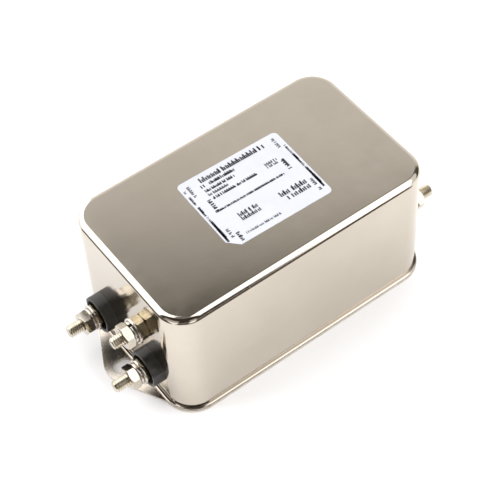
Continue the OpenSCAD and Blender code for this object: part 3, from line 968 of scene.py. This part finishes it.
# Rows of the print: x and y of its start and its end, in mm from the label's
# centre, then the height of its strokes, the share of cells left empty and how
# heavy the strokes are. Above about 4 they close up into a solid dash.
ROWS = [
    (-10.4, 12.2, 10.9, 12.2, 2.0, 0.0, 1.8),
    (-11.6, 9.9, -1.2, 9.9, 1.25, 0.04, 2.3),
    (-11.6, 7.9, -1.6, 7.9, 1.15, 0.08, 1.9),
    (-11.6, 6.2, -5.8, 6.2, 1.15, 0.06, 1.9),
    (-11.6, 4.4, 3.8, 4.4, 1.15, 0.1, 1.9),
    (-13.6, -0.5, 10.0, -0.5, 0.85, 0.08, 2.3),
    (-11.0, -12.1, 1.4, -12.1, 0.95, 0.1, 1.5),
    (-13.2, 3.9, -13.2, 0.4, 1.3, 0.0, 2.0),
    (13.2, 0.6, 13.2, 4.3, 1.3, 0.0, 2.0),
    (-17.2, 11.0, -17.2, 3.6, 0.8, 0.3, 2.2),
    (-17.2, 3.0, -17.2, 1.0, 0.8, NONE_EMPTY, 4.6),
    (-17.2, 0.2, -17.2, -3.0, 0.8, 0.3, 1.6),
    (-17.2, -3.6, -17.2, -6.4, 0.8, NONE_EMPTY, 4.6),
    (-17.2, -7.2, -17.2, -10.6, 0.95, NONE_EMPTY, 4.6),
    (17.2, 11.2, 17.2, 3.8, 0.8, 0.3, 2.2),
    (17.2, 3.2, 17.2, 1.0, 0.8, NONE_EMPTY, 4.6),
    (17.2, 0.2, 17.2, -3.0, 0.8, 0.3, 1.6),
    (17.2, -3.6, 17.2, -6.2, 0.8, NONE_EMPTY, 4.6),
    (17.2, -7.0, 17.2, -10.4, 0.95, NONE_EMPTY, 4.6),
    (-15.5, 11.9, -15.5, 7.9, 1.1, 0.1, 1.8),
    (-15.2, -7.3, -15.2, -11.4, 1.1, 0.1, 1.8),
    (15.5, 8.3, 15.5, 12.3, 1.1, 0.1, 1.8),
    (15.5, -11.6, 15.5, -7.4, 1.1, 0.1, 1.8),
    (-13.4, -11.2, -13.4, -12.9, 1.3, 0.0, 2.6),
]
# Bar patches: x and y of the centre, then width and height, in mm. Each has two rows.
PATCHES = [(9.2, -7.6, 7.6, 4.2), (-6.2, -6.2, 5.2, 3.4), (9.9, 5.0, 3.2, 2.4)]
PATCH_FILL = 0.94
PATCH_WEIGHT = 1.7
SOLID_ABOVE = 4.0
# The bars of a cell: place across it, height and the share of bars kept.
BARS = ((-0.3, 1.0, 0.75), (0.0, 0.62, 0.7), (0.3, 0.78, 0.85))


def row_lines():
    """Mesh with one edge for each row. Its points carry the row's height, empty share and weight."""
    mesh = bpy.data.meshes.new("print_rows")
    rows = list(ROWS)
    for x, y, width, tall in PATCHES:
        for row_y in (y - tall / 4, y + tall / 4):
            rows.append((x - width / 2, row_y, x + width / 2, row_y, tall / 2 * PATCH_FILL, NONE_EMPTY,
                         PATCH_WEIGHT))
    points = [(x * MM, y * MM, 0) for row in rows for x, y in (row[:2], row[2:4])]
    mesh.from_pydata(points, [(2 * k, 2 * k + 1) for k in range(len(rows))], [])
    for name, place, unit in (("tall", 4, MM), ("empty", 5, 1), ("heavy", 6, 1)):
        values = [row[place] * unit for row in rows for _ in range(2)]
        mesh.attributes.new(name, "FLOAT", "POINT").data.foreach_set("value", values)
    return mesh


def print_tree():
    tree, given, incoming = geometry_tree("label_print", Cell=0.66, Stroke=0.15, Seed=7, Material=None)
    tall, empty, heavy = (Number(tree, put(tree, "GeometryNodeInputNamedAttribute", name))
                          for name in ("tall", "empty", "heavy"))
    rows = put(tree, "GeometryNodeMeshToCurve", incoming)
    cells = put(tree, "GeometryNodeResampleCurve", rows, None, None, tall * given["Cell"], mode="LENGTH")
    index = Number(tree, put(tree, "GeometryNodeInputIndex"))

    def chance(offset):
        node = tree.nodes.new("FunctionNodeRandomValue")
        node.data_type = "FLOAT"
        fill(tree, node.inputs["ID"], index + offset)
        fill(tree, node.inputs["Seed"], given["Seed"])
        return Number(tree, node.outputs[1])

    strokes = []
    tangent = put(tree, "GeometryNodeInputTangent")
    aim = put(tree, "FunctionNodeAlignRotationToVector", None, None, tangent, axis="X")
    filled = chance(0).maths("GREATER_THAN", empty)
    solid = heavy.maths("GREATER_THAN", SOLID_ABOVE)
    for k, (across, tallness, kept) in enumerate(BARS):
        bar = put(tree, "GeometryNodeMeshGrid", given["Stroke"], tallness, 2, 2)
        bar = put(tree, "GeometryNodeTransform", bar,
                  vector(tree, given["Cell"] * across, (tallness - 1) / 2, 0.0))
        shown = filled * chance(APART * (k + 1)).maths("LESS_THAN", kept + solid)
        strokes.append(put(tree, "GeometryNodeInstanceOnPoints", cells, shown, bar, None, None, aim,
                           vector(tree, tall * heavy, tall, 1.0)))
    flat = put(tree, "GeometryNodeRealizeInstances", join(tree, *strokes))
    return finish_tree(tree, put(tree, "GeometryNodeSetMaterial", flat, None, given["Material"]))


label_low, label_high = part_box("label")
label_print = grow("label_print", print_tree(), row_lines(), Material=black_ink)
label_centre = (label_low + label_high) / 2
label_print.data.transform(Matrix.Translation((label_centre.x, label_centre.y, label_high.z + INK_LIFT))
                           @ Matrix.Rotation(LABEL_TURN, 4, "Z"))
for polygon in label_print.data.polygons:
    assert polygon.normal.z > 0.9, "a stroke of the print faces down"
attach(label_print, "root")
print("print:", len(label_print.data.polygons), "strokes")


# %% [markdown]
# ## Parts inside the can
#
# The choke, capacitors, leads and filling can't be seen from outside, but they
# are real parts and keep their constructed shapes. Each gets the finish of its
# own material: sintered ferrite, enamelled wire, moulded and dipped cases,
# sleeved leads and cast resin.

# %% Inner materials
def inner_material(name, colour, second, rough, grain=0.3, depth=0.006, cloud=5.0, metallic=0.0, coat=0.0):
    material, tree, look = new_material(name)
    grain_height, grain_mask = use_group(tree, FINE_GRAIN, grain)
    cloud_mask, _ = use_group(tree, CLOUDS, cloud)
    speck, = use_group(tree, SPECKS, 1.2, 0.1)
    fill(tree, look.inputs["Base Color"], mix(tree, cloud_mask * 0.6 + grain_mask * 0.4, colour, second))
    fill(tree, look.inputs["Roughness"], cloud_mask * 0.12 + (rough - 0.06) + speck * 0.1)
    look.inputs["Metallic"].default_value = metallic
    look.inputs["Coat Weight"].default_value = coat
    bump(tree, look, grain_height, depth)
    return material


INNER = {
    "inner_insulating_washers": inner_material("washer_fibre", (0.55, 0.44, 0.28), (0.46, 0.35, 0.21), 0.7,
                                               grain=0.2, depth=0.02),
    "solder_lugs": inner_material("lug_tin", (0.76, 0.73, 0.66), (0.66, 0.62, 0.54), 0.3,
                                  grain=0.2, depth=0.003, metallic=1.0),
    "choke_core": inner_material("core_ferrite", (0.05, 0.05, 0.055), (0.09, 0.09, 0.095), 0.75,
                                 grain=0.35, depth=0.03),
    "choke_divider": inner_material("divider_fibre", (0.75, 0.70, 0.58), (0.66, 0.60, 0.47), 0.7,
                                    grain=0.2, depth=0.02),
    "winding_p": inner_material("wire_enamel", (0.50, 0.16, 0.05), (0.38, 0.10, 0.03), 0.3,
                                grain=0.6, depth=0.004, metallic=0.8, coat=0.6),
    "box_capacitor_line": inner_material("case_yellow", (0.72, 0.50, 0.08), (0.62, 0.42, 0.06), 0.35),
    "disc_capacitor_p": inner_material("disc_lacquer", (0.06, 0.20, 0.50), (0.04, 0.14, 0.38), 0.3,
                                       grain=0.5, depth=0.01, coat=0.4),
    "bleed_resistor": inner_material("resistor_lacquer", (0.60, 0.45, 0.26), (0.50, 0.36, 0.20), 0.4),
    "lead_line_p": inner_material("lead_brown", (0.16, 0.06, 0.025), (0.12, 0.045, 0.02), 0.5),
    "lead_line_n": inner_material("lead_blue", (0.03, 0.10, 0.36), (0.02, 0.07, 0.28), 0.5),
    "earth_lead": inner_material("lead_green", (0.12, 0.34, 0.06), (0.50, 0.46, 0.05), 0.5, grain=3.0),
    "base_sheet": inner_material("sheet_film", (0.78, 0.72, 0.58), (0.70, 0.63, 0.48), 0.6,
                                 grain=0.4, depth=0.01),
    "potting": inner_material("potting_resin", (0.045, 0.045, 0.05), (0.07, 0.07, 0.075), 0.45,
                              grain=1.5, depth=0.05),
}
SAME_AS = {
    "earth_lug": "solder_lugs", "winding_n": "winding_p", "box_capacitor_load": "box_capacitor_line",
    "disc_capacitor_n": "disc_capacitor_p", "lead_load_p": "lead_line_p", "lead_load_n": "lead_line_n",
}
for node in [*INNER, *SAME_AS]:
    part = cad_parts[node]
    part.data.materials.clear()
    part.data.materials.append(INNER[SAME_AS.get(node, node)])
print("inner parts finished:", len(INNER) + len(SAME_AS))


# %% [markdown]
# ## Studio
#
# Bright metal has hardly any colour of its own: it shows the room. So the room
# decides the look, and it is painted on the world, where only reflections see
# it: a bright wall behind, which fades to a warm grey overhead and grades the
# top of the can from light at the back to dark at the front, and two softboxes,
# which give the white lines along the top edge. The camera itself sees white.
# The lamps light the pale floor, whose reflection is what the can's walls show.
# Dark flags on the floor, also seen by reflections alone, give the thin dark
# lines beside the white ones.

# %% Floor
FLOOR_SIZE = 6.0


def flat_sheet(name, outline, height, material):
    """Flat sheet of the studio with this outline, in metres."""
    mesh = bpy.data.meshes.new(name)
    mesh.from_pydata([(x, y, height) for x, y in outline], [], [range(len(outline))])
    mesh.materials.append(material)
    sheet = new_piece(name, mesh)
    return sheet


def matt_paper(name, colour, rough):
    material, _, look = new_material(name)
    look.inputs["Base Color"].default_value = (*colour, 1)
    look.inputs["Roughness"].default_value = rough
    look.inputs["Specular IOR Level"].default_value = 0.0
    return material


half = FLOOR_SIZE / 2
flat_sheet("floor", [(-half, -half), (half, -half), (half, half), (-half, half)], 0.0,
           matt_paper("floor_paper", (0.93, 0.925, 0.925), 0.9))
print("floor, m:", FLOOR_SIZE)


# %% World
world = bpy.data.worlds.new("studio_world")
bpy.context.scene.world = world
world.use_nodes = True
sky = world.node_tree
sky.nodes.clear()
direction = put(sky, "ShaderNodeTexCoord")


def along(x, y, z):
    """How far the direction looked in points along this vector."""
    return Number(sky, put(sky, "ShaderNodeVectorMath", direction, (x, y, z), operation="DOT_PRODUCT", out=1))


def inside(*planes, soft=0.012):
    """1 where the direction lies on the positive side of every plane. A plane is (x, y, z, offset)."""
    masks = [between(sky, along(*plane[:3]) - plane[3], -soft, soft) for plane in planes]
    return math.prod(masks[1:], start=masks[0])


def left_of(azimuth):
    """Plane that keeps what lies to the left of this azimuth, in degrees from +X."""
    return -math.sin(math.radians(azimuth)), math.cos(math.radians(azimuth)), 0, 0


def right_of(azimuth):
    """Plane that keeps what lies to the right of this azimuth, in degrees from +X."""
    return math.sin(math.radians(azimuth)), -math.cos(math.radians(azimuth)), 0, 0


WALL_AZIMUTH = math.radians(56.9)
toward_wall = along(math.cos(WALL_AZIMUTH), math.sin(WALL_AZIMUTH), 0)
ROOM_DARK = (0.062, 0.052, 0.045)
WALL_EDGE = (0.125, 0.11, 0.094)
WALL_LOW = (0.465, 0.45, 0.43)
WALL_MID = (0.75, 0.735, 0.715)
WALL_HIGH = (0.86, 0.84, 0.82)
WALL_FULL = (1.15, 1.13, 1.11)
room = ramp(sky, toward_wall, (0.0, ROOM_DARK), (0.578, WALL_EDGE), (0.606, WALL_LOW), (0.64, WALL_MID),
            (0.672, WALL_HIGH), (0.8, WALL_FULL))
# Patches of light in the room, each cut out by planes through or near the object.
CEILING = between(sky, along(0, 0, 1), 0.93, 0.99)
WINDOW_FRONT = inside(left_of(-105), right_of(-85), (0, 0, -1, -0.45), soft=0.05)
WINDOW_CORNER = inside((*left_of(-178)[:3], -0.08), right_of(-140), (0, 0, -1, -0.5), soft=0.06)
FRONT_SIDES = (left_of(-67.9), (0.569, -0.30, -0.098, 0), (0, -1, 0, -0.27), (-0.479, -0.698, 0.532, 0))
BOX_FRONT_SIDE = inside(*FRONT_SIDES)
BOX_FRONT = inside(*FRONT_SIDES, (-0.78, -0.413, 0.468, 0), soft=0.02)
BOX_LEFT = inside(left_of(-20), (-0.407, 0.475, -0.189, -0.05), (-1, 0, 0, -0.22))
BOX_LIGHT = (2.4, 2.42, 2.5)
for patch, light in (
        (CEILING, (0.26, 0.25, 0.235)), (WINDOW_FRONT, (0.75, 0.72, 0.68)),
        (WINDOW_CORNER, (0.6, 0.575, 0.54)), (BOX_FRONT_SIDE, (1.05, 1.04, 1.02)), (BOX_FRONT, BOX_LIGHT),
        (BOX_LEFT, BOX_LIGHT)):
    room = mix(sky, patch, room, light)
seen_by_camera = put(sky, "ShaderNodeLightPath")
background = put(sky, "ShaderNodeBackground", mix(sky, seen_by_camera, room, (1.0, 1.0, 1.0)), 1.0)
put(sky, "ShaderNodeOutputWorld", background)
print("world made")


# %% Lamps
def softbox(name, azimuth, elevation, distance, width, tall, radiance, tint):
    """Rectangular lamp aimed at the object. Its power follows from its area and radiance."""
    lamp = bpy.data.lights.new(name, "AREA")
    lamp.shape = "RECTANGLE"
    lamp.size, lamp.size_y = width, tall
    lamp.energy = radiance * math.pi * width * tall
    lamp.color = tint
    away = Vector((
        math.cos(math.radians(azimuth)) * math.cos(math.radians(elevation)),
        math.sin(math.radians(azimuth)) * math.cos(math.radians(elevation)),
        math.sin(math.radians(elevation)),
    ))
    box = bpy.data.objects.new(name, lamp)
    box.location = away * distance
    box.rotation_mode = "QUATERNION"
    box.rotation_quaternion = away.to_track_quat("Z", "Y")
    box.visible_glossy = False
    bpy.context.scene.collection.objects.link(box)


softbox("lamp_front", azimuth=-90, elevation=38, distance=1.2, width=1.6, tall=1.2, radiance=1.8,
        tint=(1, 0.99, 0.97))
softbox("lamp_left", azimuth=175, elevation=48, distance=1.2, width=1.3, tall=1.3, radiance=0.28,
        tint=(1, 0.97, 0.96))
softbox("lamp_above", azimuth=20, elevation=68, distance=1.3, width=1.2, tall=1.2, radiance=0.9,
        tint=(1, 1, 1))
print("lamps:", len(bpy.data.lights))


# %% Flags
FLAG_LIFT = 0.8
FLAG_PAPER = matt_paper("flag_dark", (0.095, 0.078, 0.068), 1.0)
# Outlines in mm, seen from above.
FLAGS = {
    "flag_front": [(-70, -64), (85, -64), (105, -140), (160, -288), (472, -1024), (40, -1024), (-40, -105),
                   (-70, -105)],
    "flag_corner": [(-70, -64), (-70, -105), (-310, -1000), (-1000, -830), (-100, -60), (-87, -40)],
    "flag_left": [(-87, -40), (-120, -45), (-1000, -120), (-1000, 330), (-245, 120), (-230, 170), (-88, 76)],
}
for name, outline in FLAGS.items():
    flag = flat_sheet(name, [(x * MM, y * MM) for x, y in outline], FLAG_LIFT * MM, FLAG_PAPER)
    flag.visible_camera = flag.visible_diffuse = flag.visible_shadow = flag.visible_transmission = False
print("flags in place")
